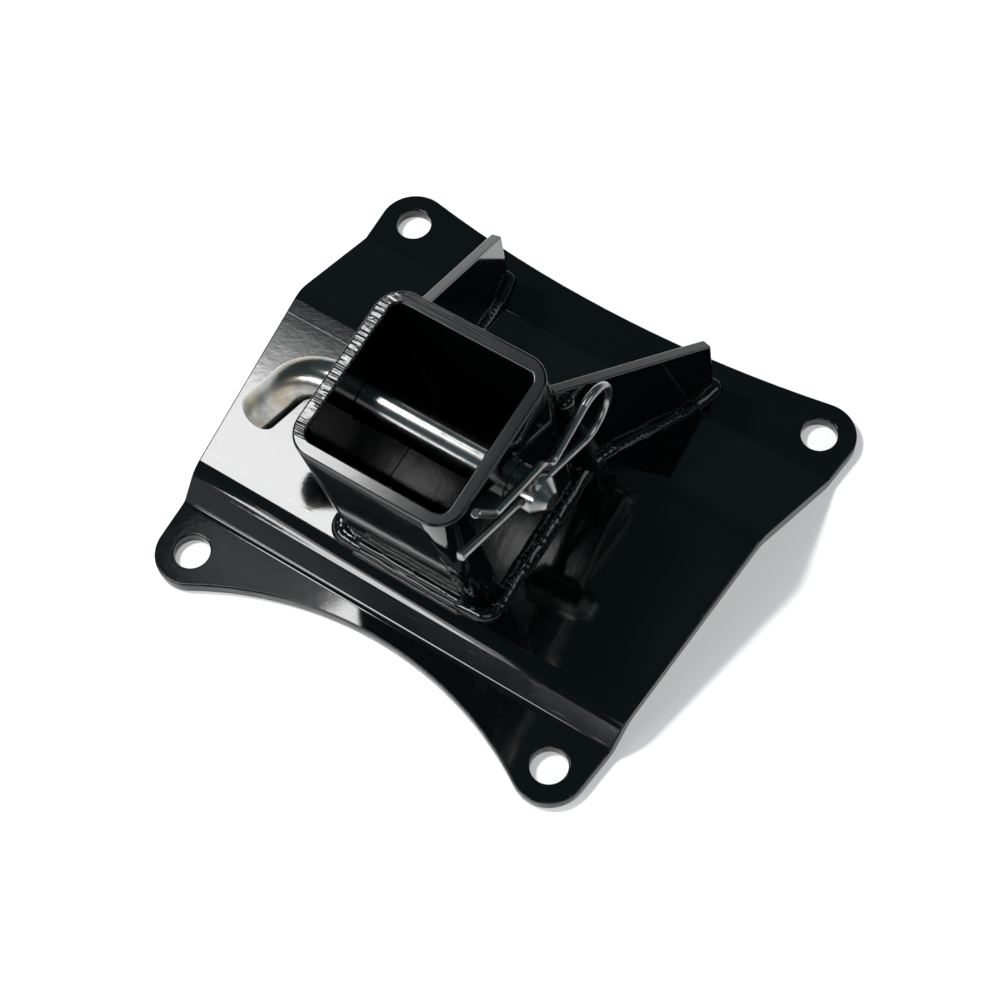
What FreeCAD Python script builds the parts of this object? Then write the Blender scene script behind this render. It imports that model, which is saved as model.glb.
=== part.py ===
import FreeCAD, Part
import math
import os

# Receiver hitch: a folded hat plate with a square receiver tube welded to its sloping
# panel, two splayed gussets, and a bent hitch pin held by a hairpin clip.
# Millimetres. Origin: on the back of the top flange, midway between the top bolt holes.
# +X to the right along the bolt rows, +Y towards the top flange's edge, +Z out of the plate.

# Plate: one sheet with two bolt flanges, two slopes and a tilted centre panel.
plate_thickness = 4.76
tight_bend_radius = 3.0         # inside the two bends where a flange turns into a slope
wide_bend_radius = 7.2          # inside the two bends at the panel's shoulders
top_bolt_spacing = 168.6
bottom_bolt_spacing = 143.6
bolt_row_distance = 150.0
bolt_hole_diameter = 12.5
ear_radius = 12.8
top_edge_rise = 5.4             # middle of the top edge above the top bolt row
bottom_edge_rise = 7.2          # middle of the bottom edge above the bottom bolt row
top_flange_depth = 13.8         # top bolt row down to the first fold line
hat_height = 20.8               # front of the flange to the panel's upper shoulder
upper_slope_depth = 40.7        # first fold line down to the panel's upper shoulder
panel_length = 73.8
panel_tilt = 9.54               # degrees

# Receiver tube: square steel tube that stands square on the panel.
receiver_bore = 51.2            # takes a 50.8 mm shank
tube_wall = 4.76
tube_corner_radius = 9.4        # outside
bore_corner_radius = 3.6
tube_length = 79.6
mouth_edge_radius = 0.8

# Gussets: flat plates from the tube's upper corners to the top flange.
gusset_thickness = 3.8
gusset_splay = 13.5             # degrees from the plate's centre line
gusset_tip_half_span = 43.0     # centre of the tip's end, from the centre line
gusset_tip_setback = 2.4        # tip's foot below the top bolt row
gusset_tip_lean = 2.7           # top of the tip's end behind its foot
gusset_tip_height = 30.4        # above the flange
gusset_mouth_setback = 18.2     # gusset's upper end below the tube's mouth

# Weld beads.
tube_bead_radius = 3.2
tube_bead_corner_radius = 3.8   # the bead runs wider round the tube's corners
stringer_radius = 2.3           # second pass, along the tube's lower wall
stringer_half_length = 21.5
gusset_bead_radius = 3.0

# Hitch pin: round bar with a bent handle and a chamfered nose.
pin_diameter = 13.5
pin_hole_clearance = 0.4        # all round the pin in the tube's walls
pin_setback = 24.0              # pin's axis below the tube's mouth
pin_nose_reach = 13.2           # beyond the tube's wall
pin_nose_chamfer = 3.5
handle_bend_reach = 16.7        # corner of the bend beyond the other wall
handle_bend_angle = 60.0        # degrees
handle_bend_radius = 21.5
handle_length = 29.8            # from the corner of the bend
handle_swing = 40.0             # degrees from straight down the tube
handle_end_chamfer = 1.2

# Hairpin clip: spring wire, straight leg through the pin, sprung leg over it.
clip_wire_diameter = 3.0
clip_hole_clearance = 0.3
clip_seat_gap = 0.3             # sprung leg above the pin
clip_reach = 5.8                # clip's plane beyond the tube's wall
clip_turn = 33.9                # degrees, straight leg against the panel
clip_straight_length = 39.9     # free end to the pin's axis
clip_loop_radius = 10.6
clip_loop_distance = 30.7       # pin's axis to the loop's centre
clip_loop_exit = 128.6          # degrees round the loop where the sprung leg leaves it
clip_neck_distance = 9.8        # pin's axis to the corner between loop and crown
clip_neck_rise = 3.8            # that corner's distance from the straight leg's axis
clip_pinch_distance = 23.2      # pin's axis to the corner between crown and flared tip
clip_pinch_rise = 5.8
clip_tip_distance = 36.3
clip_tip_rise = 14.8
clip_corner_radius = 4.0
clip_end_chamfer = 0.4

V = FreeCAD.Vector
across = V(1, 0, 0)
outward = V(0, 0, 1)
tilt = math.radians(panel_tilt)
splay = math.radians(gusset_splay)
tube_half = receiver_bore / 2 + tube_wall
pin_radius = pin_diameter / 2
wire_radius = clip_wire_diameter / 2


def unit(vector):
    return vector * (1 / vector.Length)


def rounded_path(points, radii):
    """Straight runs between the points, with a tangent arc at each inner corner."""
    edges = []
    start = points[0]
    for before, corner, after, radius in zip(points, points[1:], points[2:], radii):
        arriving = unit(corner - before)
        leaving = unit(after - corner)
        turn = arriving.getAngle(leaving)
        reach = radius * math.tan(turn / 2)
        arc_start = corner - arriving * reach
        arc_end = corner + leaving * reach
        middle_distance = radius / math.cos(turn / 2) - radius
        arc_middle = corner + unit(leaving - arriving) * middle_distance
        edges.append(Part.makeLine(start, arc_start))
        edges.append(Part.Arc(arc_start, arc_middle, arc_end).toShape())
        start = arc_end
    edges.append(Part.makeLine(start, points[-1]))
    return edges


def round_bar(edges, radius):
    """A round bar along a path of straight runs and arcs."""
    first = edges[0]
    start = first.valueAt(first.FirstParameter)
    section = Part.makeCircle(radius, start, first.tangentAt(first.FirstParameter))
    return Part.Wire(edges).makePipeShell([Part.Wire([section])], True, False)


def chamfer_ends(bar, ends, size):
    """Chamfer the round edges whose centres lie at the given ends."""
    rims = []
    for edge in bar.Edges:
        if edge.Curve.TypeId != "Part::GeomCircle":
            continue
        if any(edge.Curve.Center.distanceToPoint(end) < 0.01 for end in ends):
            rims.append(edge)
    return bar.makeChamfer(size, rims)


def fold_points():
    """Corners of the plate's front surface, from above the top edge to below the bottom one."""
    front = plate_thickness
    first_fold = -top_flange_depth
    shoulder_y = first_fold - upper_slope_depth
    shoulder_z = front + hat_height
    lower_y = shoulder_y - panel_length * math.cos(tilt)
    lower_z = shoulder_z - panel_length * math.sin(tilt)
    last_fold = -bolt_row_distance + top_flange_depth
    margin = 2 * ear_radius
    return [V(0, margin, front),
            V(0, first_fold, front),
            V(0, shoulder_y, shoulder_z),
            V(0, lower_y, lower_z),
            V(0, last_fold, front),
            V(0, -bolt_row_distance - margin, front)]


def offset_points(points, distance):
    """The same corners moved to the sheet's other face."""
    normals = []
    for start, end in zip(points, points[1:]):
        normals.append(unit((end - start).cross(across)))
    moved = [points[0] + normals[0] * distance]
    for corner, before, after in zip(points[1:], normals, normals[1:]):
        moved.append(corner + (before + after) * (distance / (1 + before.dot(after))))
    moved.append(points[-1] + normals[-1] * distance)
    return moved


def plate_outline():
    """Outline seen from the front: four round ears, straight sides and two hollow arches."""
    def corners(side):
        top = V(side * top_bolt_spacing / 2, 0, 0)
        bottom = V(side * bottom_bolt_spacing / 2, -bolt_row_distance, 0)
        return top, bottom

    def arch(half_span, drop):
        """Radius of the arch that runs smoothly into both ears."""
        return (half_span ** 2 + drop ** 2 - ear_radius ** 2) / (2 * (ear_radius + drop))

    top_radius = arch(top_bolt_spacing / 2, -top_edge_rise)
    bottom_radius = arch(bottom_bolt_spacing / 2, bottom_edge_rise)
    top_middle = V(0, top_edge_rise, 0)
    bottom_middle = V(0, bottom_edge_rise - bolt_row_distance, 0)
    top_centre = top_middle + V(0, top_radius, 0)
    bottom_centre = bottom_middle - V(0, bottom_radius, 0)

    ends = {}
    edges = []
    for side in (-1, 1):
        top, bottom = corners(side)
        along = unit(top - bottom)
        sideways = V(side * along.y, -side * along.x, 0)
        for name, ear, centre in (("top", top, top_centre), ("bottom", bottom, bottom_centre)):
            to_arch = unit(centre - ear)
            arch_end = ear + to_arch * ear_radius
            side_end = ear + sideways * ear_radius
            crown = ear + unit(to_arch + sideways) * ear_radius
            edges.append(Part.Arc(arch_end, crown, side_end).toShape())
            ends[name, side] = (arch_end, side_end)
        edges.append(Part.makeLine(ends["top", side][1], ends["bottom", side][1]))
    for name, middle in (("top", top_middle), ("bottom", bottom_middle)):
        edges.append(Part.Arc(ends[name, -1][0], middle, ends[name, 1][0]).toShape())
    return Part.Wire(Part.__sortEdges__(edges))


def wide_bend_reach():
    """Length of the upper shoulder's bend on each side of its corner."""
    turn = math.atan(hat_height / upper_slope_depth) + tilt
    return (wide_bend_radius + plate_thickness) * math.tan(turn / 2)


def front_path():
    outer_wide = wide_bend_radius + plate_thickness
    return rounded_path(fold_points(), (tight_bend_radius, outer_wide, outer_wide, tight_bend_radius))


def behind_plate():
    """All the space behind the plate's front surface, which trims what stands on it."""
    front = fold_points()
    depth = outward * (2 * hat_height)
    edges = front_path()
    edges.append(Part.makeLine(front[0], front[0] - depth))
    edges.append(Part.makeLine(front[0] - depth, front[-1] - depth))
    edges.append(Part.makeLine(front[-1] - depth, front[-1]))
    section = Part.Face(Part.Wire(Part.__sortEdges__(edges)))
    section.translate(across * -top_bolt_spacing)
    return section.extrude(across * (2 * top_bolt_spacing))


def mounting_plate():
    front = fold_points()
    back = offset_points(front, -plate_thickness)
    outer_tight = tight_bend_radius + plate_thickness
    back_radii = (outer_tight, wide_bend_radius, wide_bend_radius, outer_tight)
    edges = front_path() + rounded_path(back, back_radii)
    edges.append(Part.makeLine(front[0], back[0]))
    edges.append(Part.makeLine(front[-1], back[-1]))
    width = top_bolt_spacing + 4 * ear_radius
    section = Part.Face(Part.Wire(Part.__sortEdges__(edges)))
    section.translate(across * (-width / 2))
    folded = section.extrude(across * width)
    depth = 2 * (hat_height + plate_thickness)
    blank = Part.Face(plate_outline()).extrude(outward * (2 * depth))
    blank.translate(outward * (-depth))
    plate = folded.common(blank)
    for spacing, row in ((top_bolt_spacing, 0), (bottom_bolt_spacing, -bolt_row_distance)):
        for side in (-1, 1):
            start = V(side * spacing / 2, row, -plate_thickness)
            plate = plate.cut(Part.makeCylinder(bolt_hole_diameter / 2, 3 * plate_thickness, start))
    return plate.removeSplitter()


def tube_foot():
    """Middle of the panel's front surface, where the tube's axis meets it."""
    corners = fold_points()
    return (corners[2] + corners[3]) * 0.5


def tube_axis():
    return V(0, -math.sin(tilt), math.cos(tilt))


def place_on_tube(shape):
    """Move a shape from the tube's own frame (z = 0 at the mouth) to the plate's."""
    mouth = tube_foot() + tube_axis() * tube_length
    shape.Placement = FreeCAD.Placement(mouth, FreeCAD.Rotation(across, panel_tilt))
    return shape


def rounded_square(half, radius, level):
    """Closed wire of a square with round corners at one level of the tube."""
    corners = [V(half, half, level), V(-half, half, level), V(-half, -half, level), V(half, -half, level)]
    start = (corners[0] + corners[-1]) * 0.5
    points = [start] + corners + [start]
    return Part.Wire(rounded_path(points, [radius] * 4))


def tube_block(half, radius, low, high):
    return Part.Face(rounded_square(half, radius, low)).extrude(outward * (high - low))


def receiver_tube():
    outer = tube_block(tube_half, tube_corner_radius, -tube_length, 0)
    bore = tube_block(receiver_bore / 2, bore_corner_radius, -2 * tube_length, tube_length)
    tube = outer.cut(bore)
    rims = [edge for edge in tube.Edges if edge.BoundBox.ZMin > -0.01]
    tube = tube.makeFillet(mouth_edge_radius, rims)
    hole_start = V(-2 * tube_half, 0, -pin_setback)
    hole = Part.makeCylinder(pin_radius + pin_hole_clearance, 4 * tube_half, hole_start, across)
    return place_on_tube(tube.cut(hole))


def gusset_plane_point(side, y, face):
    """Point of a gusset at one y; face is -1, 0 or 1 for inner face, middle and outer face."""
    sideways = gusset_thickness / 2 / math.cos(splay) * face
    x = gusset_tip_half_span - (-gusset_tip_setback - y) * math.tan(splay) + sideways
    return V(side * x, y, 0)


def gusset(side, trims):
    """Profile in the gusset's own upright plane, trimmed to the plate, the tube and its bead."""
    foot_y = -gusset_tip_setback
    front = plate_thickness
    mouth = tube_foot() + tube_axis() * tube_length
    wall = mouth + V(0, math.cos(tilt), math.sin(tilt)) * tube_half
    top = wall - tube_axis() * gusset_mouth_setback
    tip_y = foot_y - gusset_tip_lean
    tip_z = front + gusset_tip_height
    slope = (top.z - tip_z) / (tip_y - top.y)
    inside_y = top.y - tube_half / 2
    inside_z = top.z + slope * (top.y - inside_y)
    profile = [(foot_y, 0), (foot_y, front), (tip_y, tip_z), (inside_y, inside_z), (inside_y, 0)]
    points = []
    for y, z in profile:
        points.append(gusset_plane_point(side, y, -1) + outward * z)
    points.append(points[0])
    normal = V(side * math.cos(splay), -math.sin(splay), 0)
    blank = Part.Face(Part.makePolygon(points)).extrude(normal * gusset_thickness)
    return blank.cut(trims)


def bead(points, radius):
    """A round weld bead that runs from point to point."""
    shape = Part.makeSphere(radius, points[0])
    for start, end in zip(points, points[1:]):
        run = end - start
        shape = shape.fuse([Part.makeCylinder(radius, run.Length, start, run), Part.makeSphere(radius, end)])
    return shape


def gusset_weld(side, trims):
    """Bead round the gusset's foot and up both sides of its edge on the tube, short of its top."""
    folds = fold_points()
    front = plate_thickness
    panel_fall = math.tan(tilt)
    shoulder = folds[2]
    bend = wide_bend_reach()
    slope_rise = hat_height / upper_slope_depth
    foot_y = (tube_foot() + V(0, math.cos(tilt), 0) * tube_half).y
    foot_z = shoulder.z - (shoulder.y - foot_y) * panel_fall
    mouth = tube_foot() + tube_axis() * tube_length
    wall = mouth + V(0, math.cos(tilt), math.sin(tilt)) * tube_half
    top = wall - tube_axis() * (gusset_mouth_setback + 2 * gusset_bead_radius)
    run = [(top.y, top.z),
           (foot_y, foot_z),
           (shoulder.y - bend, shoulder.z - bend * panel_fall),
           (shoulder.y + bend, shoulder.z - bend * slope_rise),
           (folds[1].y, front),
           (-gusset_tip_setback, front)]
    points = []
    for face, order in ((1, run), (-1, run[::-1])):
        for y, z in order:
            points.append(gusset_plane_point(side, y, face) + outward * z)
    return bead(points, gusset_bead_radius).cut(trims)


def tube_weld(trims):
    """Bead all round the tube's foot, with a second pass along its lower wall."""
    path = rounded_square(tube_half, tube_bead_corner_radius, -tube_length)
    section = Part.makeCircle(tube_bead_radius, V(tube_half, 0, -tube_length), V(0, 1, 0))
    ring = path.makePipeShell([Part.Wire([section])], True, False)
    level = -tube_length + tube_bead_radius
    ends = [V(-stringer_half_length, -tube_half, level), V(stringer_half_length, -tube_half, level)]
    return place_on_tube(ring.fuse(bead(ends, stringer_radius))).cut(trims)


def handle_direction():
    """Direction of the bent handle in the tube's frame."""
    bend = math.radians(handle_bend_angle)
    swing = math.radians(handle_swing)
    away = V(0, -math.sin(swing), -math.cos(swing))
    return V(-math.cos(bend), 0, 0) + away * math.sin(bend)


def clip_frame():
    """Origin on the pin's axis, and the directions along and away from the straight leg."""
    turn = math.radians(clip_turn)
    origin = V(tube_half + clip_reach, 0, -pin_setback)
    return origin, V(0, math.cos(turn), -math.sin(turn)), V(0, math.sin(turn), math.cos(turn))


def hitch_pin():
    nose = V(tube_half + pin_nose_reach, 0, -pin_setback)
    corner = V(-tube_half - handle_bend_reach, 0, -pin_setback)
    end = corner + handle_direction() * handle_length
    pin = round_bar(rounded_path([nose, corner, end], [handle_bend_radius]), pin_radius)
    pin = chamfer_ends(pin, [nose], pin_nose_chamfer)
    pin = chamfer_ends(pin, [end], handle_end_chamfer)
    origin, along = clip_frame()[:2]
    hole = Part.makeCylinder(wire_radius + clip_hole_clearance, 4 * pin_radius,
                             origin - along * (2 * pin_radius), along)
    return place_on_tube(pin.cut(hole))


def clip_path():
    """Centre line of the clip's wire, as straight runs and arcs in its own plane."""
    origin, along, away = clip_frame()

    def at(u, v):
        return origin + along * u + away * v

    def tangent_point(corner, radius, turn_sign):
        """Where a line from a corner touches the crown's circle round the pin."""
        angle = math.atan2(corner[1], corner[0])
        angle += turn_sign * math.acos(radius / math.hypot(*corner))
        return radius * math.cos(angle), radius * math.sin(angle)

    neck = (clip_neck_distance, clip_neck_rise)
    pinch = (-clip_pinch_distance, clip_pinch_rise)
    tip = (-clip_tip_distance, clip_tip_rise)
    loop_exit = math.radians(clip_loop_exit)
    exit_point = at(clip_loop_distance + clip_loop_radius * math.cos(loop_exit),
                    clip_loop_radius + clip_loop_radius * math.sin(loop_exit))
    loop_start = at(clip_loop_distance, 0)
    loop_middle = at(clip_loop_distance + clip_loop_radius, clip_loop_radius)
    crown = pin_radius + wire_radius + clip_seat_gap
    crown_start = at(*tangent_point(neck, crown, 1))
    crown_end = at(*tangent_point(pinch, crown, -1))
    edges = [Part.makeLine(at(-clip_straight_length, 0), loop_start),
             Part.Arc(loop_start, loop_middle, exit_point).toShape()]
    edges += rounded_path([exit_point, at(*neck), crown_start], [clip_corner_radius])
    edges.append(Part.Arc(crown_start, at(0, crown), crown_end).toShape())
    edges += rounded_path([crown_end, at(*pinch), at(*tip)], [clip_corner_radius])
    return edges


def hairpin_clip():
    edges = clip_path()
    clip = round_bar(edges, wire_radius)
    ends = [edges[0].valueAt(edges[0].FirstParameter), edges[-1].valueAt(edges[-1].LastParameter)]
    return place_on_tube(chamfer_ends(clip, ends, clip_end_chamfer))


def main():
    parts = {"mounting_plate": mounting_plate(), "receiver_tube": receiver_tube()}
    trims = [behind_plate(), place_on_tube(tube_block(tube_half, tube_corner_radius, -tube_length, 0))]
    parts["tube_weld"] = tube_weld(trims)
    trims.append(parts["tube_weld"])
    for name, side in (("left", -1), ("right", 1)):
        solid = gusset(side, trims)
        parts["gusset_" + name] = solid
        parts["gusset_weld_" + name] = gusset_weld(side, trims + [solid])
    parts["hitch_pin"] = hitch_pin()
    parts["hairpin_clip"] = hairpin_clip()

    os.makedirs("parts", exist_ok=True)
    for name, shape in parts.items():
        box = shape.BoundBox
        print(name, "solids", len(shape.Solids), "valid", shape.isValid(), "volume", round(shape.Volume, 1),
              "x %.1f..%.1f y %.1f..%.1f z %.1f..%.1f" % (box.XMin, box.XMax, box.YMin, box.YMax,
                                                          box.ZMin, box.ZMax))
        shape.exportStep("parts/" + name + ".step")


main()
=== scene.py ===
import math

import bmesh
import bpy
from bpy.props import FloatProperty, FloatVectorProperty, PointerProperty
from mathutils import Matrix, Vector, noise


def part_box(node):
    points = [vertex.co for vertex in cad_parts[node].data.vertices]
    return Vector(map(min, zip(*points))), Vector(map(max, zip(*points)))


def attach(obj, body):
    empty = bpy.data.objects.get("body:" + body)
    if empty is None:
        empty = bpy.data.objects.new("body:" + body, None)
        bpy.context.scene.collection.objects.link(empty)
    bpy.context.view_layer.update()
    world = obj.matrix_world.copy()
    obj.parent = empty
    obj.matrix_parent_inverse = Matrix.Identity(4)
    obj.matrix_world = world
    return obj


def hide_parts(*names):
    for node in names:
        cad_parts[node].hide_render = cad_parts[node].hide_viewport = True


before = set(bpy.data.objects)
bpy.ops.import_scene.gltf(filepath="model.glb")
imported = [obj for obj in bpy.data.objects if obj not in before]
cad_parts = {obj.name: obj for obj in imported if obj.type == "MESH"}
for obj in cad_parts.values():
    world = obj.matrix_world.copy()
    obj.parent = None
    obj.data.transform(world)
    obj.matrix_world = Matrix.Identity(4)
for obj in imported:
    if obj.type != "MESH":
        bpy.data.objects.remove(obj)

bl_info = {
    "name": "Receiver Hitch Finish",
    "version": (1, 0, 0),
    "blender": (4, 5, 0),
    "location": "3D View > Sidebar > Hitch",
    "description": "Powder coat, weld beads, plated pin and studio for a bolt-on receiver hitch",
    "category": "Object",
}

# Form of the folded plate and the tube, in metres and radians, in the frame of the solids.
PLATE_FRONT = 0.00476
FIRST_FOLD_Y = -0.0138
HAT_HEIGHT = 0.0208
UPPER_SLOPE_RUN = 0.0407
PANEL_LENGTH = 0.0738
PANEL_TILT = math.radians(9.54)
SHOULDER_BEND_REACH = 0.004
TUBE_HALF = 0.03036
TUBE_LENGTH = 0.0796
GUSSET_THICKNESS = 0.0038
GUSSET_SPLAY = math.radians(13.5)
GUSSET_TIP_HALF_SPAN = 0.043
GUSSET_TIP_Y = -0.0024
GUSSET_BEAD_SETBACK = 0.0242      # upper end of the gusset's bead below the tube's mouth

SHOULDER = Vector((0, FIRST_FOLD_Y - UPPER_SLOPE_RUN, PLATE_FRONT + HAT_HEIGHT))
DOWN_PANEL = Vector((0, -math.cos(PANEL_TILT), -math.sin(PANEL_TILT)))
TUBE_AXIS = Vector((0, -math.sin(PANEL_TILT), math.cos(PANEL_TILT)))
TUBE_FOOT = SHOULDER + DOWN_PANEL * (PANEL_LENGTH / 2)
RIGHTWARD = Vector((1, 0, 0))
LEFTWARD = Vector((-1, 0, 0))

# Finish of the coat and the steel. Cells and depths are in metres. A pair of limits gives the
# levels at which a mark begins and is full.
WAVE_CELL = 0.012
WAVE_DEPTH = 0.00003
LONG_SCRATCH_LIMITS = (0.64, 0.78)
CROSS_SCRATCH_LIMITS = (0.66, 0.8)
SCRATCH_DEPTH = 0.0000025
SCRATCH_ROUGHNESS = 0.06
SPECK_CELL = 0.0006
SPECK_LIMITS = (0.79, 0.84)
SPECK_SHARE = 0.12
HAZE_CELL = 0.02
HAZE_ROUGHNESS = 0.05
HAZE_OFFSET = 0.02

PRESS_MARKS = (0.0092, 0.0655)      # below the panel's upper shoulder
PRESS_MARK_LIMITS = (0.0001, 0.0005)
PRESS_MARK_DEPTH = 0.000005
# Painted highlight: light patches along the press marks, a colour that stands in for the overhead
# lamp's reflection off the creases.
PAINTED_HIGHLIGHT_CELL = 0.004
PAINTED_HIGHLIGHT_LIMITS = (0.35, 0.65)
PAINTED_HIGHLIGHT_SHARE = 0.17
LEFT_LIMITS = (0.02, 0.05)          # left of the plate's middle
CRUMPLE_CELL = 0.0028
CRUMPLE_SLANT = math.radians(-32)

RIM_LIMITS = (-0.0005, -0.0002)     # height, from the tube's mouth
RIM_ROUGHNESS = 0.06
SAWN_ACROSS_LIMITS = (-0.0262, -0.0225)
SAWN_ALONG_LIMITS = (-0.0262, -0.0258)
CUT_CELL = 0.0011
CUT_DEPTH = 0.000022
TOOTH_WANDER_CELL = 0.003
TOOTH_WANDER = 9.0                  # radians
TOOTH_TURN = 3500.0                 # radians in a metre
TOOTH_FADE_CELL = 0.0024
TOOTH_FADE_LIMITS = (0.3, 0.6)
TOOTH_DEPTH = 0.00008

GRAIN_CELL = 0.0014
GRAIN_DEPTH = 0.00003
SLAG_CELL = 0.0022
SLAG_LIMITS = (0.62, 0.72)
SLAG_DEPTH = 0.00012

ZINC_MOTTLE_CELL = 0.006
ZINC_MOTTLE_ROUGHNESS = 0.16
ZINC_DARK = (0.16, 0.165, 0.17)
ZINC_DARK_LIMITS = (0.42, 0.66)
ZINC_DARK_SHARE = 0.6
YELLOW_CELL = 0.009
YELLOW_LIMITS = (0.4, 0.6)
HANDLE_LIMITS = (0.03, 0.055)       # left of the tube's middle
DRAWN_CELL = 0.0005
DRAWN_DEPTH = 0.000012
RUBBED_CELL = 0.0007
RUBBED_LIMITS = (0.6, 0.75)
RUBBED_ROUGHNESS = 0.08
RUBBED_DEPTH = 0.000006
WIRE_MOTTLE_CELL = 0.004
WIRE_MOTTLE_ROUGHNESS = 0.2
WIRE_DARK = (0.16, 0.16, 0.155)
WIRE_DARK_LIMITS = (0.42, 0.7)
WIRE_DARK_SHARE = 0.5
WIRE_FINE_CELL = 0.0003
WIRE_FINE_DEPTH = 0.000012

# Rounding of the coated edges.
FACET_GAP = 0.000001
FLAT_ANGLE = math.radians(0.5)
EDGE_ANGLE = math.radians(40)
EDGE_SEGMENTS = 3

# Weld beads.
BEAD_STEP = 0.00034
BEAD_SIDES = 22
RIPPLE_LAG = 0.45                   # share of the pitch by which a bead's sides trail its top
RIPPLE_MEAN = 0.7
RIPPLE_WANDER = 0.35
RIPPLE_WANDER_SCALE = 90
LUMP_SCALE = 150
LUMP_TURN = 0.8
TAPER_FLOOR = 0.02
RING_CORNER_RADIUS = 0.0038
RING_SEED = 3.1
# Further passes on the tube's lower wall: half length, height and distance out of the wall.
PASSES = ((0.0215, 0.0032, -0.0002), (0.0205, 0.0014, 0.0016), (0.0225, 0.0002, 0.0031))
PASS_THINNING = 0.18
PASS_SEED = 7.7
PASS_SEED_STEP = 5
GUSSET_SEED = 20.0

FLOOR_ROUGHNESS = 0.25
OVERHEAD_HEIGHT = 1.0
SENSOR_WIDTH = 36.0                 # millimetres
WHITE = (1.0, 1.0, 1.0, 1.0)


class HitchCoat(bpy.types.PropertyGroup):
    """Black powder coat on the plate, tube, gussets and welds."""
    colour: FloatVectorProperty(
        name="Colour", description="Colour of the powder coat", subtype="COLOR",
        size=3, min=0.0, max=1.0, default=(0.0016, 0.0021, 0.0023))
    skin_roughness: FloatProperty(
        name="Skin roughness", description="Roughness of the glossy skin on the tube and welds",
        min=0.0, max=1.0, default=0.045)
    sheet_roughness: FloatProperty(
        name="Sheet roughness", description="Roughness of the skin on the folded plate and gussets",
        min=0.0, max=1.0, default=0.07)
    peel_size: FloatProperty(
        name="Peel size", description="Width of the orange-peel cells", subtype="DISTANCE",
        min=0.0001, default=0.0016)
    peel_depth: FloatProperty(
        name="Peel depth", description="Depth of the orange peel", subtype="DISTANCE",
        min=0.0, default=0.000004)
    crumple_depth: FloatProperty(
        name="Crumple depth", description="Depth of the fine crumpled handling marks",
        subtype="DISTANCE", min=0.0, default=0.000022)
    # Colour of the dust specks, and also of the painted highlight along the press marks.
    dust_colour: FloatVectorProperty(
        name="Dust colour", description="Colour of dust and of worn press marks", subtype="COLOR",
        size=3, min=0.0, max=1.0, default=(0.3, 0.3, 0.29))
    edge_radius: FloatProperty(
        name="Edge radius", description="How far the coat rounds the sheet's cut edges",
        subtype="DISTANCE", min=0.0, default=0.0006)


class HitchWeld(bpy.types.PropertyGroup):
    """Form of the weld beads."""
    bead_radius: FloatProperty(
        name="Bead radius", description="Radius of the bead round the tube's foot",
        subtype="DISTANCE", min=0.001, default=0.0036)
    stringer_radius: FloatProperty(
        name="Stringer radius",
        description="Radius of the first further pass on the tube's lower wall",
        subtype="DISTANCE", min=0.001, default=0.0022)
    gusset_bead_radius: FloatProperty(
        name="Gusset bead radius", description="Radius of the beads round the gussets",
        subtype="DISTANCE", min=0.001, default=0.0029)
    ripple_pitch: FloatProperty(
        name="Ripple pitch", description="Distance from one ripple to the next",
        subtype="DISTANCE", min=0.0005, default=0.0026)
    ripple_depth: FloatProperty(
        name="Ripple depth", description="Depth of the ripples",
        subtype="DISTANCE", min=0.0, default=0.00013)
    lump_depth: FloatProperty(
        name="Lump depth", description="Unevenness of the hand-laid bead",
        subtype="DISTANCE", min=0.0, default=0.0006)


class HitchSteel(bpy.types.PropertyGroup):
    """Bare and plated steel of the pin and its clip."""
    zinc_colour: FloatVectorProperty(
        name="Zinc colour", description="Colour of the zinc plating", subtype="COLOR",
        size=3, min=0.0, max=1.0, default=(0.39, 0.39, 0.375))
    zinc_tint: FloatVectorProperty(
        name="Zinc tint", description="Colour of the yellowed patches", subtype="COLOR",
        size=3, min=0.0, max=1.0, default=(0.34, 0.30, 0.225))
    zinc_roughness: FloatProperty(
        name="Zinc roughness", description="Mean roughness of the plating",
        min=0.0, max=1.0, default=0.2)
    wire_colour: FloatVectorProperty(
        name="Wire colour", description="Colour of the drawn spring wire", subtype="COLOR",
        size=3, min=0.0, max=1.0, default=(0.34, 0.34, 0.33))
    wire_roughness: FloatProperty(
        name="Wire roughness", description="Mean roughness of the wire",
        min=0.0, max=1.0, default=0.24)


class HitchStage(bpy.types.PropertyGroup):
    """Floor, lamps and camera."""
    floor_half: FloatProperty(
        name="Floor half width", description="Half the width of the floor",
        subtype="DISTANCE", min=0.5, default=8.0)
    floor_colour: FloatVectorProperty(
        name="Floor colour", description="Colour of the floor", subtype="COLOR",
        size=3, min=0.0, max=1.0, default=(0.93, 0.93, 0.93))
    floor_glow: FloatProperty(
        name="Floor glow", description="Share of plain white in the floor as it is seen",
        min=0.0, max=1.0, default=0.38)
    surround: FloatProperty(
        name="Surround", description="Strength of the dim surround", min=0.0, default=0.1)
    surround_colour: FloatVectorProperty(
        name="Surround colour", description="Colour of the dim surround", subtype="COLOR",
        size=3, min=0.0, max=1.0, default=(0.55, 0.87, 1.0))
    backdrop: FloatProperty(
        name="Backdrop", description="Brightness of the backdrop as it is seen",
        min=0.0, default=0.85)
    camera_place: FloatVectorProperty(
        name="Camera place", description="Where the camera stands", subtype="TRANSLATION",
        size=3, default=(0.225006, -0.343613, 0.637265))
    camera_target: FloatVectorProperty(
        name="Camera target", description="Point of the floor in the middle of the picture",
        subtype="TRANSLATION", size=3, default=(0.004147, -0.076745, 0.0))
    camera_roll: FloatProperty(
        name="Camera roll", description="Turn of the camera about its own line of sight",
        subtype="ANGLE", default=math.radians(-6.83))
    lens: FloatProperty(
        name="Lens", description="Focal length in millimetres", min=10.0, default=76.61)


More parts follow.
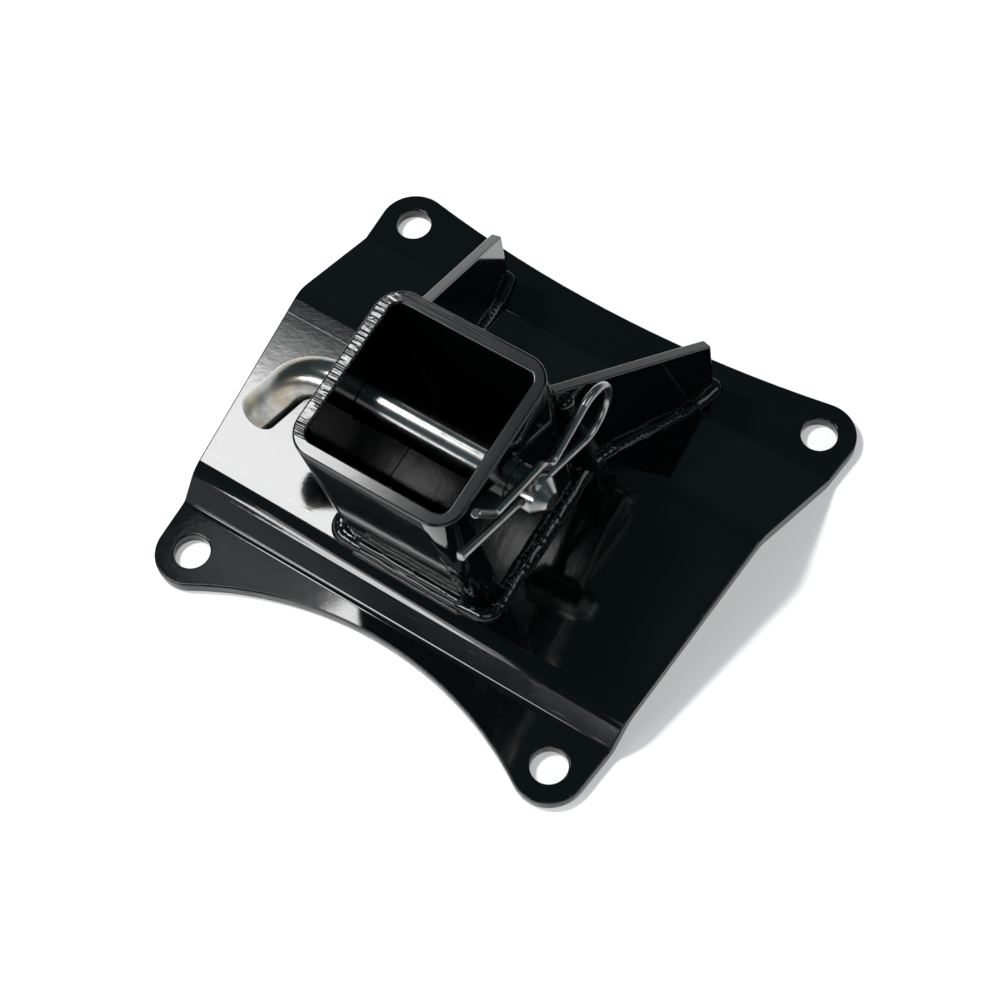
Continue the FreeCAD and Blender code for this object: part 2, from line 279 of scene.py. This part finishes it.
class Nodes:
    """Small helper that adds shader nodes and links them."""

    def __init__(self, tree):
        self.tree = tree
        tree.nodes.clear()

    def add(self, kind, **inputs):
        node = self.tree.nodes.new(kind)
        for name, value in inputs.items():
            self.set(node, name.replace("_", " "), value)
        return node

    def set(self, node, name, value):
        socket = node.inputs[int(name)] if name.isdigit() else node.inputs[name]
        if isinstance(value, bpy.types.NodeSocket):
            self.tree.links.new(value, socket)
        else:
            socket.default_value = value

    def math(self, operation, *values):
        node = self.tree.nodes.new("ShaderNodeMath")
        node.operation = operation
        for index, value in enumerate(values):
            self.set(node, str(index), value)
        return node.outputs[0]

    def vector(self, operation, *values):
        node = self.tree.nodes.new("ShaderNodeVectorMath")
        node.operation = operation
        for index, value in enumerate(values):
            self.set(node, str(index), value)
        return node.outputs["Value"] if operation == "DOT_PRODUCT" else node.outputs["Vector"]

    def ramp(self, value, low, high):
        """0 below low, 1 above high, smooth between."""
        node = self.tree.nodes.new("ShaderNodeMapRange")
        node.interpolation_type = "SMOOTHSTEP"
        self.set(node, "Value", value)
        self.set(node, "From Min", low)
        self.set(node, "From Max", high)
        return node.outputs["Result"]

    def noise(self, position, cell, detail=2.0, stretch=(1.0, 1.0, 1.0)):
        """Noise with features about one cell wide."""
        scaled = self.vector("MULTIPLY", position, Vector(stretch) / cell)
        node = self.add("ShaderNodeTexNoise", Vector=scaled, Scale=1.0, Detail=detail)
        return node.outputs["Fac"]

    def mix_colour(self, factor, first, second):
        node = self.tree.nodes.new("ShaderNodeMix")
        node.data_type = "RGBA"
        sockets = [s for s in node.inputs if s.type == "RGBA"]
        self.tree.links.new(factor, node.inputs[0])
        for socket, value in zip(sockets, (first, second)):
            if isinstance(value, bpy.types.NodeSocket):
                self.tree.links.new(value, socket)
            else:
                socket.default_value = (*value, 1.0)
        return [s for s in node.outputs if s.type == "RGBA"][0]

    def bump(self, height, distance, strength=1.0, normal=None):
        """height runs from 0 to 1 over the given distance."""
        node = self.add("ShaderNodeBump", Height=height, Strength=strength, Distance=distance)
        if normal is not None:
            self.tree.links.new(normal, node.inputs["Normal"])
        return node.outputs["Normal"]

    def position(self):
        """Place in the frame of the solids."""
        return self.add("ShaderNodeTexCoord").outputs["Object"]

    def finish(self, shader):
        output = self.tree.nodes.new("ShaderNodeOutputMaterial")
        self.tree.links.new(shader, output.inputs["Surface"])


def new_material(name):
    material = bpy.data.materials.new(name)
    material.use_nodes = True
    return material, Nodes(material.node_tree)


def coat_shader(nodes, colour, skin_roughness, normal):
    """Glossy powder coat: a near-black body under a clear skin that gives all the gloss."""
    shader = nodes.add("ShaderNodeBsdfPrincipled", Base_Color=colour, Coat_Roughness=skin_roughness,
                       Normal=normal, Coat_Normal=normal)
    shader.inputs["Roughness"].default_value = 0.5
    shader.inputs["Specular IOR Level"].default_value = 0.0
    shader.inputs["Coat Weight"].default_value = 1.0
    shader.inputs["Coat IOR"].default_value = 1.5
    return shader.outputs[0]


def coat_base(nodes, skin_roughness):
    """Peel, handling marks and dust that all coated steel has: colour, roughness and normal."""
    settings = bpy.context.scene.hitch_coat
    position = nodes.position()
    peel = nodes.noise(position, settings.peel_size, detail=2.0)
    wave = nodes.noise(position, WAVE_CELL, detail=1.0)
    long_marks = nodes.noise(position, 0.00035, detail=3.0, stretch=(0.03, 1.0, 1.0))
    cross_marks = nodes.noise(position, 0.0004, detail=2.0, stretch=(1.0, 0.05, 0.4))
    scratches = nodes.math("MAXIMUM", nodes.ramp(long_marks, *LONG_SCRATCH_LIMITS),
                           nodes.ramp(cross_marks, *CROSS_SCRATCH_LIMITS))
    dust = nodes.ramp(nodes.noise(position, SPECK_CELL, detail=1.0), *SPECK_LIMITS)
    colour = nodes.mix_colour(nodes.math("MULTIPLY", dust, SPECK_SHARE), tuple(settings.colour),
                              tuple(settings.dust_colour))
    haze = nodes.noise(position, HAZE_CELL, detail=4.0)
    roughness = nodes.math("MULTIPLY_ADD", haze, HAZE_ROUGHNESS, skin_roughness - HAZE_OFFSET)
    roughness = nodes.math("MULTIPLY_ADD", scratches, SCRATCH_ROUGHNESS, roughness)
    normal = nodes.bump(wave, WAVE_DEPTH)
    normal = nodes.bump(peel, settings.peel_depth, normal=normal)
    normal = nodes.bump(scratches, -SCRATCH_DEPTH, strength=0.6, normal=normal)
    return position, colour, roughness, normal


def coat_material():
    """Powder coat of the folded plate, with a painted highlight in patches along the press marks
    beside its wide bends, on the left half only.
    """
    settings = bpy.context.scene.hitch_coat
    material, nodes = new_material("black_powder_coat_plate")
    position, colour, roughness, normal = coat_base(nodes, settings.sheet_roughness)
    along = nodes.vector("DOT_PRODUCT", position, Vector((0, 1, 0)))
    marks = None
    for below_shoulder in PRESS_MARKS:
        offset = nodes.math("SUBTRACT", along, SHOULDER.y - below_shoulder)
        distance = nodes.math("ABSOLUTE", offset)
        line = nodes.math("SUBTRACT", 1.0, nodes.ramp(distance, *PRESS_MARK_LIMITS))
        marks = line if marks is None else nodes.math("MAXIMUM", marks, line)
    # Painted highlight: a light colour in patches along the press marks, only on the left half,
    # where the panel mirrors the overhead lamp.
    painted_highlight = nodes.ramp(nodes.noise(position, PAINTED_HIGHLIGHT_CELL, detail=3.0), *PAINTED_HIGHLIGHT_LIMITS)
    left = nodes.ramp(nodes.vector("DOT_PRODUCT", position, LEFTWARD), *LEFT_LIMITS)
    painted_highlight = nodes.math("MULTIPLY", nodes.math("MULTIPLY", painted_highlight, marks),
                      nodes.math("MULTIPLY", left, PAINTED_HIGHLIGHT_SHARE))
    colour = nodes.mix_colour(painted_highlight, colour, tuple(settings.dust_colour))
    slant = nodes.add("ShaderNodeVectorRotate", Vector=position, Angle=CRUMPLE_SLANT).outputs[0]
    crumple = nodes.noise(slant, CRUMPLE_CELL, detail=6.0, stretch=(0.55, 1.0, 1.0))
    crumple = nodes.math("ABSOLUTE", nodes.math("SUBTRACT", crumple, 0.5))
    crumple = nodes.math("MULTIPLY", crumple, left)
    normal = nodes.bump(crumple, settings.crumple_depth, normal=normal)
    normal = nodes.bump(marks, PRESS_MARK_DEPTH, normal=normal)
    nodes.finish(coat_shader(nodes, colour, roughness, normal))
    return material


def tube_coat_material():
    """Powder coat of the tube: saw ticks on the left of its mouth, brushed streaks all round it."""
    material, nodes = new_material("black_powder_coat_tube")
    skin_roughness = bpy.context.scene.hitch_coat.skin_roughness
    position, colour, roughness, normal = coat_base(nodes, skin_roughness)
    mouth = TUBE_FOOT + TUBE_AXIS * TUBE_LENGTH
    local = nodes.vector("SUBTRACT", position, mouth)
    height = nodes.vector("DOT_PRODUCT", local, TUBE_AXIS)
    along = nodes.vector("DOT_PRODUCT", local, -DOWN_PANEL)
    across = nodes.vector("DOT_PRODUCT", local, RIGHTWARD)
    rim = nodes.ramp(height, *RIM_LIMITS)
    left = nodes.math("SUBTRACT", 1.0, nodes.ramp(across, *SAWN_ACROSS_LIMITS))
    sawn = nodes.math("MULTIPLY", left, nodes.ramp(along, *SAWN_ALONG_LIMITS))
    cut = nodes.noise(position, CUT_CELL, detail=3.0, stretch=(0.06, 1.0, 1.0))
    wander = nodes.noise(position, TOOTH_WANDER_CELL, detail=1.0, stretch=(0.12, 1.0, 0.3))
    turn = nodes.math("MULTIPLY", along, TOOTH_TURN)
    teeth = nodes.math("SINE", nodes.math("MULTIPLY_ADD", wander, TOOTH_WANDER, turn))
    fade = nodes.noise(position, TOOTH_FADE_CELL, detail=2.0, stretch=(0.4, 1.0, 1.0))
    fade = nodes.math("MULTIPLY", sawn, nodes.ramp(fade, *TOOTH_FADE_LIMITS))
    teeth = nodes.math("MULTIPLY", nodes.math("MULTIPLY_ADD", teeth, 0.5, 0.5), fade)
    normal = nodes.bump(nodes.math("MULTIPLY", teeth, rim), TOOTH_DEPTH, normal=normal)
    normal = nodes.bump(nodes.math("MULTIPLY", cut, rim), CUT_DEPTH, normal=normal)
    roughness = nodes.math("MULTIPLY_ADD", rim, RIM_ROUGHNESS, roughness)
    nodes.finish(coat_shader(nodes, colour, roughness, normal))
    return material


def weld_coat_material():
    """Powder coat over the welds, with a fine grain and a few slag grains."""
    material, nodes = new_material("black_powder_coat_weld")
    skin_roughness = bpy.context.scene.hitch_coat.skin_roughness
    position, colour, roughness, normal = coat_base(nodes, skin_roughness)
    grain = nodes.noise(position, GRAIN_CELL, detail=2.0)
    slag = nodes.ramp(nodes.noise(position, SLAG_CELL, detail=1.0), *SLAG_LIMITS)
    normal = nodes.bump(grain, GRAIN_DEPTH, normal=normal)
    normal = nodes.bump(slag, SLAG_DEPTH, normal=normal)
    nodes.finish(coat_shader(nodes, colour, roughness, normal))
    return material


def metal_shader(nodes, colour, roughness, normal):
    """Bare or plated steel."""
    shader = nodes.add("ShaderNodeBsdfPrincipled", Base_Color=colour, Roughness=roughness,
                       Normal=normal)
    shader.inputs["Metallic"].default_value = 1.0
    return shader.outputs[0]


def zinc_material():
    """Plated round bar: mottled zinc with scratches along the bar and a yellowed handle."""
    settings = bpy.context.scene.hitch_steel
    material, nodes = new_material("zinc_plate")
    position = nodes.position()
    mottle = nodes.noise(position, ZINC_MOTTLE_CELL, detail=5.0)
    leftward = nodes.vector("DOT_PRODUCT", position, LEFTWARD)
    patches = nodes.ramp(nodes.noise(position, YELLOW_CELL, detail=2.0), *YELLOW_LIMITS)
    patches = nodes.math("MULTIPLY", patches, nodes.ramp(leftward, *HANDLE_LIMITS))
    drawn = nodes.noise(position, DRAWN_CELL, detail=3.0, stretch=(0.03, 1.0, 1.0))
    rubbed = nodes.noise(position, RUBBED_CELL, detail=4.0, stretch=(1.0, 0.35, 0.35))
    rubbed = nodes.ramp(rubbed, *RUBBED_LIMITS)
    colour = nodes.mix_colour(patches, tuple(settings.zinc_colour), tuple(settings.zinc_tint))
    dark = nodes.math("MULTIPLY", nodes.ramp(mottle, *ZINC_DARK_LIMITS), ZINC_DARK_SHARE)
    colour = nodes.mix_colour(dark, colour, ZINC_DARK)
    roughness = nodes.math("MULTIPLY_ADD", mottle, ZINC_MOTTLE_ROUGHNESS,
                           settings.zinc_roughness - ZINC_MOTTLE_ROUGHNESS / 2)
    roughness = nodes.math("MULTIPLY_ADD", rubbed, RUBBED_ROUGHNESS, roughness)
    normal = nodes.bump(drawn, DRAWN_DEPTH)
    normal = nodes.bump(rubbed, -RUBBED_DEPTH, normal=normal)
    nodes.finish(metal_shader(nodes, colour, roughness, normal))
    return material


def wire_material():
    """Drawn spring wire, a little dull, with a fine grain."""
    settings = bpy.context.scene.hitch_steel
    material, nodes = new_material("spring_wire")
    position = nodes.position()
    mottle = nodes.noise(position, WIRE_MOTTLE_CELL, detail=4.0)
    fine = nodes.noise(position, WIRE_FINE_CELL, detail=2.0)
    dark = nodes.math("MULTIPLY", nodes.ramp(mottle, *WIRE_DARK_LIMITS), WIRE_DARK_SHARE)
    colour = nodes.mix_colour(dark, tuple(settings.wire_colour), WIRE_DARK)
    roughness = nodes.math("MULTIPLY_ADD", mottle, WIRE_MOTTLE_ROUGHNESS,
                           settings.wire_roughness - WIRE_MOTTLE_ROUGHNESS / 2)
    normal = nodes.bump(fine, WIRE_FINE_DEPTH)
    nodes.finish(metal_shader(nodes, colour, roughness, normal))
    return material


def dress(node, material, edge_radius=0.0):
    """Give a solid its material and, where asked, coat-rounded edges."""
    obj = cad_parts[node]
    for slot in obj.material_slots:
        slot.material = material
    if edge_radius:
        round_edges(obj, edge_radius)


def round_edges(obj, radius):
    """Merge the facets of the flat faces, then round the sharp edges between them."""
    weld = obj.modifiers.new("join_facets", "WELD")
    weld.merge_threshold = FACET_GAP
    flat = obj.modifiers.new("flat_faces", "DECIMATE")
    flat.decimate_type = "DISSOLVE"
    flat.angle_limit = FLAT_ANGLE
    bevel = obj.modifiers.new("coat_edges", "BEVEL")
    bevel.width = radius
    bevel.segments = EDGE_SEGMENTS
    bevel.limit_method = "ANGLE"
    bevel.angle_limit = EDGE_ANGLE
    bevel.harden_normals = True
    bevel.use_clamp_overlap = False


def resample(points, step, closed):
    """Points at an even step along straight runs between the given points."""
    runs = list(zip(points, points[1:] + points[:1])) if closed else list(zip(points, points[1:]))
    total = sum((b - a).length for a, b in runs)
    count = max(8, round(total / step))
    spaced = []
    goal = 0.0
    done = 0.0
    spacing = total / count
    for start, end in runs:
        length = (end - start).length
        while goal <= done + length + 1e-9 and len(spaced) < count + (0 if closed else 1):
            share = (goal - done) / length if length else 0.0
            spaced.append(start.lerp(end, min(1.0, share)))
            goal += spacing
        done += length
    if not closed and len(spaced) <= count:
        spaced.append(points[-1].copy())
    return spaced


def soften(points, passes, closed):
    """Round the corners of an evenly spaced line by averaging neighbours."""
    for _ in range(passes):
        ring = list(points)
        for index in range(len(points)):
            if not closed and index in (0, len(points) - 1):
                continue
            before = points[index - 1]
            after = points[(index + 1) % len(points)]
            ring[index] = (before + points[index] * 2 + after) / 4
        points = ring
    return points


def bead_rings(points, radius, away, seed, closed, taper=0.0, unevenness=1.0):
    """Rings of a weld bead; away(point) points out of the joint, where the ripples show."""
    settings = bpy.context.scene.hitch_weld
    count = len(points)
    rings = []
    travelled = 0.0
    for index, centre in enumerate(points):
        before = points[index - 1] if closed or index else centre
        after = points[(index + 1) % count] if closed or index < count - 1 else centre
        travelled += (centre - points[index - 1]).length if index else 0.0
        tangent = (after - before).normalized()
        up = away(centre)
        up = (up - tangent * up.dot(tangent)).normalized()
        side = tangent.cross(up)
        ring = []
        for turn in range(BEAD_SIDES):
            angle = 2 * math.pi * turn / BEAD_SIDES
            chevron = travelled - RIPPLE_LAG * settings.ripple_pitch * (1 - math.cos(angle))
            scale = RIPPLE_WANDER_SCALE
            spot = Vector((centre.x * scale, centre.y * scale, seed + centre.z * scale))
            wander = noise.noise(spot)
            phase = chevron / settings.ripple_pitch + RIPPLE_WANDER * wander
            ripple = math.sqrt(abs(math.sin(math.pi * phase))) - RIPPLE_MEAN
            around = Vector((math.cos(angle), math.sin(angle), seed)) * LUMP_TURN
            lump = noise.noise(centre * LUMP_SCALE + around)
            relief = ripple * settings.ripple_depth + lump * settings.lump_depth
            size = radius + relief * unevenness
            if taper and not closed:
                reach = min(index, count - 1 - index) / taper
                size *= math.sqrt(max(TAPER_FLOOR, 1 - (1 - min(1.0, reach)) ** 2))
            ring.append(centre + (up * math.cos(angle) + side * math.sin(angle)) * size)
        rings.append(ring)
    return rings


def skin_rings(mesh, rings, closed):
    """Quads between neighbouring rings, and a fan at each open end."""
    rows = [[mesh.verts.new(point) for point in ring] for ring in rings]
    pairs = list(zip(rows, rows[1:]))
    if closed:
        pairs.append((rows[-1], rows[0]))
    for first, second in pairs:
        for index in range(len(first)):
            after = (index + 1) % len(first)
            mesh.faces.new((first[index], first[after], second[after], second[index]))
    if not closed:
        mesh.faces.new(rows[0])
        mesh.faces.new(list(reversed(rows[-1])))


def mesh_object(name, build, material):
    """A smooth-shaded object whose mesh is filled by build(bmesh)."""
    mesh = bmesh.new()
    build(mesh)
    bmesh.ops.recalc_face_normals(mesh, faces=mesh.faces)
    data = bpy.data.meshes.new(name)
    mesh.to_mesh(data)
    mesh.free()
    data.polygons.foreach_set("use_smooth", [True] * len(data.polygons))
    data.materials.append(material)
    obj = bpy.data.objects.new(name, data)
    bpy.context.scene.collection.objects.link(obj)
    return obj


def tube_corner_path(half, radius):
    """Rounded square round the tube's foot, on the panel, as points."""
    points = []
    arc_steps = 6
    for x_sign, y_sign, start in ((1, 1, 0), (-1, 1, 90), (-1, -1, 180), (1, -1, 270)):
        middle = Vector((x_sign * (half - radius), y_sign * (half - radius), 0))
        for step in range(arc_steps + 1):
            angle = math.radians(start + 90 * step / arc_steps)
            points.append(middle + Vector((math.cos(angle), math.sin(angle), 0)) * radius)
    return [on_tube(point) for point in points]


def on_tube(point):
    """From the tube's frame (z = 0 on the panel) to the plate's."""
    return TUBE_FOOT + Vector((1, 0, 0)) * point.x - DOWN_PANEL * point.y + TUBE_AXIS * point.z


def away_from_tube(point):
    """Out of the corner between tube wall and panel."""
    local = point - TUBE_FOOT
    x = local.x
    y = -local.dot(DOWN_PANEL)
    outside = Vector((1, 0, 0)) * x ** 3 - DOWN_PANEL * y ** 3
    return (outside.normalized() + TUBE_AXIS).normalized()


def weld_material():
    return bpy.data.materials.get("black_powder_coat_weld") or weld_coat_material()


def build_tube_weld():
    settings = bpy.context.scene.hitch_weld
    material = weld_material()

    def ring(mesh):
        path = resample(tube_corner_path(TUBE_HALF, RING_CORNER_RADIUS), BEAD_STEP, True)
        path = soften(path, 4, True)
        rings = bead_rings(path, settings.bead_radius, away_from_tube, RING_SEED, True,
                           unevenness=0.65)
        skin_rings(mesh, rings, True)

    def stringers(mesh):
        for number, (half, level, stand) in enumerate(PASSES):
            start = on_tube(Vector((-half, -TUBE_HALF - stand, level)))
            end = on_tube(Vector((half, -TUBE_HALF - stand, level)))
            path = resample([start, end], BEAD_STEP, False)
            radius = settings.stringer_radius * (1 - PASS_THINNING * number)
            seed = PASS_SEED + PASS_SEED_STEP * number
            rings = bead_rings(path, radius, away_from_tube, seed, False, taper=7.0,
                               unevenness=0.35)
            skin_rings(mesh, rings, False)

    ring_obj = mesh_object("tube_weld_ring", ring, material)
    pass_obj = mesh_object("tube_weld_passes", stringers, material)
    for obj in (ring_obj, pass_obj):
        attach(obj, "hitch")
    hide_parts("tube_weld")


def gusset_point(side, y, face):
    """Point of a gusset's face line at one y; face is -1 inner or 1 outer."""
    sideways = GUSSET_THICKNESS / 2 / math.cos(GUSSET_SPLAY) * face
    x = GUSSET_TIP_HALF_SPAN - (GUSSET_TIP_Y - y) * math.tan(GUSSET_SPLAY) + sideways
    return Vector((side * x, y, 0))


def gusset_weld_run():
    """y and z of the bead from the gusset's upper end down the tube and out to its tip."""
    slope = HAT_HEIGHT / UPPER_SLOPE_RUN
    foot = TUBE_FOOT - DOWN_PANEL * TUBE_HALF
    top = foot + TUBE_AXIS * (TUBE_LENGTH - GUSSET_BEAD_SETBACK)
    fall = math.tan(PANEL_TILT)
    return [(top.y, top.z),
            (foot.y, foot.z),
            (SHOULDER.y - SHOULDER_BEND_REACH, SHOULDER.z - SHOULDER_BEND_REACH * fall),
            (SHOULDER.y + SHOULDER_BEND_REACH, SHOULDER.z - SHOULDER_BEND_REACH * slope),
            (FIRST_FOLD_Y, PLATE_FRONT),
            (GUSSET_TIP_Y, PLATE_FRONT)]


def build_gusset_weld(name, side):
    settings = bpy.context.scene.hitch_weld
    material = weld_material()
    run = gusset_weld_run()
    points = []
    for face, order in ((1, run), (-1, run[::-1])):
        for y, z in order:
            points.append(gusset_point(side, y, face) + Vector((0, 0, z)))

    def away(point):
        middle = gusset_point(side, point.y, 0)
        across = Vector((point.x - middle.x, 0, 0))
        if across.length < 1e-5:
            across = Vector((0, 1, 0))
        return (across.normalized() + Vector((0, 0.35, 0.9))).normalized()

    def bead(mesh):
        path = soften(resample(points, BEAD_STEP, False), 12, False)
        rings = bead_rings(path, settings.gusset_bead_radius, away, GUSSET_SEED + side, False,
                           taper=8.0, unevenness=0.7)
        skin_rings(mesh, rings, False)

    obj = mesh_object(name + "_bead", bead, material)
    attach(obj, "hitch")
    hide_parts(name)


def make_floor():
    settings = bpy.context.scene.hitch_stage
    half = settings.floor_half
    low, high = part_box("mounting_plate")
    centre = (low + high) / 2

    def plane(mesh):
        corners = [(centre.x + x * half, centre.y + y * half, 0)
                   for x, y in ((-1, -1), (1, -1), (1, 1), (-1, 1))]
        mesh.faces.new([mesh.verts.new(corner) for corner in corners])

    material, nodes = new_material("studio_floor")
    path = nodes.add("ShaderNodeLightPath").outputs
    seen = nodes.math("MAXIMUM", path["Is Camera Ray"], path["Is Glossy Ray"])
    seen = nodes.math("MAXIMUM", seen, path["Is Transmission Ray"])
    surface = nodes.add("ShaderNodeBsdfPrincipled", Roughness=FLOOR_ROUGHNESS)
    surface.inputs["Base Color"].default_value = (*settings.floor_colour, 1.0)
    glow = nodes.add("ShaderNodeEmission", Strength=1.0)
    glow.inputs["Color"].default_value = WHITE
    mix = nodes.tree.nodes.new("ShaderNodeMixShader")
    nodes.tree.links.new(nodes.math("MULTIPLY", seen, settings.floor_glow), mix.inputs[0])
    nodes.tree.links.new(surface.outputs[0], mix.inputs[1])
    nodes.tree.links.new(glow.outputs[0], mix.inputs[2])
    nodes.finish(mix.outputs[0])
    floor = mesh_object("floor", plane, material)


def soft_lamp(name, place, aim, width, height, radiance):
    """An area lamp whose face has the given radiance, aimed at a point."""
    light = bpy.data.lights.new(name, "AREA")
    light.shape = "RECTANGLE"
    light.size = width
    light.size_y = height
    light.energy = radiance * width * height * math.pi
    lamp = bpy.data.objects.new(name, light)
    lamp.location = place
    lamp.rotation_euler = (Vector(aim) - Vector(place)).to_track_quat("-Z", "Y").to_euler()
    lamp.visible_camera = False
    bpy.context.scene.collection.objects.link(lamp)
    return lamp


# The panel that hangs level overhead: place of its middle, then width, depth and radiance.
# Its strips grow dimmer towards the back and towards the right.
OVERHEAD = (
    ("overhead_main", (-0.505, -0.11), 0.29, 0.16, 20.0),
    ("overhead_fade_near", (-0.505, -0.018), 0.29, 0.024, 9.5),
    ("overhead_fade_middle", (-0.505, 0.006), 0.29, 0.024, 3.6),
    ("overhead_fade_far", (-0.505, 0.029), 0.29, 0.022, 0.9),
    ("overhead_fade_right", (-0.345, -0.08), 0.03, 0.2, 5.0),
    ("overhead_dim_right", (-0.30, -0.05), 0.06, 0.30, 0.8),
    ("overhead_small", (-0.368, 0.175), 0.07, 0.065, 20.0),
    ("overhead_dim_back", (-0.485, 0.165), 0.13, 0.07, 1.0),
    ("overhead_right", (0.32, -0.047), 0.05, 0.035, 12.0),
)
LAMPS = (
    # name, place, aim, width, height, radiance
    ("front_ridge", (-0.42, -1.0, 0.50), (0.0, -0.13, 0.01), 0.76, 0.16, 14.0),
    ("front_ridge_fade", (-0.42, -0.97, 0.66), (0.0, -0.13, 0.01), 0.76, 0.16, 3.0),
    ("front_glow", (-0.58, -1.0, 0.31), (0.0, -0.13, 0.01), 0.46, 0.14, 0.5),
    ("back_left", (-0.55, 0.75, 0.75), (-0.08, -0.06, 0.02), 0.12, 0.05, 10.0),
    ("right_soft", (1.2, 0.35, 1.1), (0.0, -0.08, 0.03), 0.8, 0.8, 1.8),
    ("front_fill", (0.75, -1.3, 0.9), (0.0, -0.08, 0.03), 0.9, 0.7, 1.1),
)
SHADOW_LAMP = ("shadow_key", (-0.49, -0.18, 1.02), (0.0, -0.075, 0.0), 0.12, 0.12, 270.0)


def make_lamps():
    for name, (x, y), width, depth, radiance in OVERHEAD:
        soft_lamp(name, (x, y, OVERHEAD_HEIGHT), (x, y, 0.0), width, depth, radiance)
    for name, place, aim, width, height, radiance in LAMPS:
        soft_lamp(name, place, aim, width, height, radiance)
    soft_lamp(*SHADOW_LAMP).visible_glossy = False


def make_world():
    """Dim surround that lights the part, and a pale backdrop where the camera sees it."""
    settings = bpy.context.scene.hitch_stage
    world = bpy.data.worlds.new("surround")
    bpy.context.scene.world = world
    world.use_nodes = True
    nodes = Nodes(world.node_tree)
    dim = nodes.add("ShaderNodeBackground", Strength=settings.surround)
    dim.inputs["Color"].default_value = (*settings.surround_colour, 1.0)
    pale = nodes.add("ShaderNodeBackground", Strength=settings.backdrop)
    pale.inputs["Color"].default_value = WHITE
    mix = nodes.tree.nodes.new("ShaderNodeMixShader")
    links = nodes.tree.links
    links.new(nodes.add("ShaderNodeLightPath").outputs["Is Camera Ray"], mix.inputs[0])
    links.new(dim.outputs[0], mix.inputs[1])
    links.new(pale.outputs[0], mix.inputs[2])
    output = nodes.tree.nodes.new("ShaderNodeOutputWorld")
    links.new(mix.outputs[0], output.inputs["Surface"])


def make_camera():
    settings = bpy.context.scene.hitch_stage
    data = bpy.data.cameras.new("camera")
    data.sensor_width = SENSOR_WIDTH
    data.lens = settings.lens
    camera = bpy.data.objects.new("camera", data)
    place = Vector(settings.camera_place)
    look = Vector(settings.camera_target) - place
    turn = look.to_track_quat("-Z", "Y").to_matrix() @ Matrix.Rotation(settings.camera_roll, 3, "Z")
    camera.location = place
    camera.rotation_euler = turn.to_euler()
    bpy.context.scene.collection.objects.link(camera)
    bpy.context.scene.camera = camera


class HITCH_OT_stage(bpy.types.Operator):
    """Add the camera, floor and lamps"""
    bl_idname = "hitch.stage"
    bl_label = "Stage"

    def execute(self, context):
        make_camera()
        make_floor()
        make_lamps()
        make_world()
        context.scene.view_settings.view_transform = "Standard"
        return {"FINISHED"}


class HITCH_OT_mounting_plate(bpy.types.Operator):
    """Coat the folded plate and round its edges"""
    bl_idname = "hitch.mounting_plate"
    bl_label = "Mounting plate"

    def execute(self, context):
        dress("mounting_plate", coat_material(), context.scene.hitch_coat.edge_radius)
        return {"FINISHED"}


class HITCH_OT_receiver_tube(bpy.types.Operator):
    """Coat the receiver tube and its sawn mouth"""
    bl_idname = "hitch.receiver_tube"
    bl_label = "Receiver tube"

    def execute(self, context):
        dress("receiver_tube", tube_coat_material(), context.scene.hitch_coat.edge_radius)
        return {"FINISHED"}


class HITCH_OT_gussets(bpy.types.Operator):
    """Coat both gussets and round their edges"""
    bl_idname = "hitch.gussets"
    bl_label = "Gussets"

    def execute(self, context):
        material = bpy.data.materials["black_powder_coat_plate"]
        for name in ("gusset_left", "gusset_right"):
            dress(name, material, context.scene.hitch_coat.edge_radius)
        return {"FINISHED"}


class HITCH_OT_welds(bpy.types.Operator):
    """Lay the rippled beads round the tube and the gussets"""
    bl_idname = "hitch.welds"
    bl_label = "Welds"

    def execute(self, context):
        build_tube_weld()
        build_gusset_weld("gusset_weld_left", -1)
        build_gusset_weld("gusset_weld_right", 1)
        return {"FINISHED"}


class HITCH_OT_hitch_pin(bpy.types.Operator):
    """Plate the hitch pin"""
    bl_idname = "hitch.hitch_pin"
    bl_label = "Hitch pin"

    def execute(self, context):
        dress("hitch_pin", zinc_material())
        return {"FINISHED"}


class HITCH_OT_hairpin_clip(bpy.types.Operator):
    """Finish the spring wire of the clip"""
    bl_idname = "hitch.hairpin_clip"
    bl_label = "Hairpin clip"

    def execute(self, context):
        dress("hairpin_clip", wire_material())
        return {"FINISHED"}


class HITCH_PT_panel(bpy.types.Panel):
    """Lists the steps that finish the hitch"""
    bl_idname = "HITCH_PT_panel"
    bl_label = "Receiver Hitch"
    bl_space_type = "VIEW_3D"
    bl_region_type = "UI"
    bl_category = "Hitch"

    def draw(self, context):
        layout = self.layout
        for operator in OPERATORS:
            layout.operator(operator.bl_idname)


OPERATORS = (
    HITCH_OT_stage,
    HITCH_OT_mounting_plate,
    HITCH_OT_receiver_tube,
    HITCH_OT_gussets,
    HITCH_OT_welds,
    HITCH_OT_hitch_pin,
    HITCH_OT_hairpin_clip,
)
SETTINGS = {
    "hitch_coat": HitchCoat,
    "hitch_weld": HitchWeld,
    "hitch_steel": HitchSteel,
    "hitch_stage": HitchStage,
}


def register():
    for name, group in SETTINGS.items():
        bpy.utils.register_class(group)
        setattr(bpy.types.Scene, name, PointerProperty(type=group))
    for item in (*OPERATORS, HITCH_PT_panel):
        bpy.utils.register_class(item)


def unregister():
    for item in (HITCH_PT_panel, *reversed(OPERATORS)):
        bpy.utils.unregister_class(item)
    for name, group in reversed(SETTINGS.items()):
        delattr(bpy.types.Scene, name)
        bpy.utils.unregister_class(group)


def main():
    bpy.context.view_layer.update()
    register()
    bpy.ops.hitch.stage()
    bpy.ops.hitch.mounting_plate()
    bpy.ops.hitch.receiver_tube()
    bpy.ops.hitch.gussets()
    bpy.ops.hitch.welds()
    bpy.ops.hitch.hitch_pin()
    bpy.ops.hitch.hairpin_clip()
    bpy.context.view_layer.update()


if __name__ == "__main__":
    main()
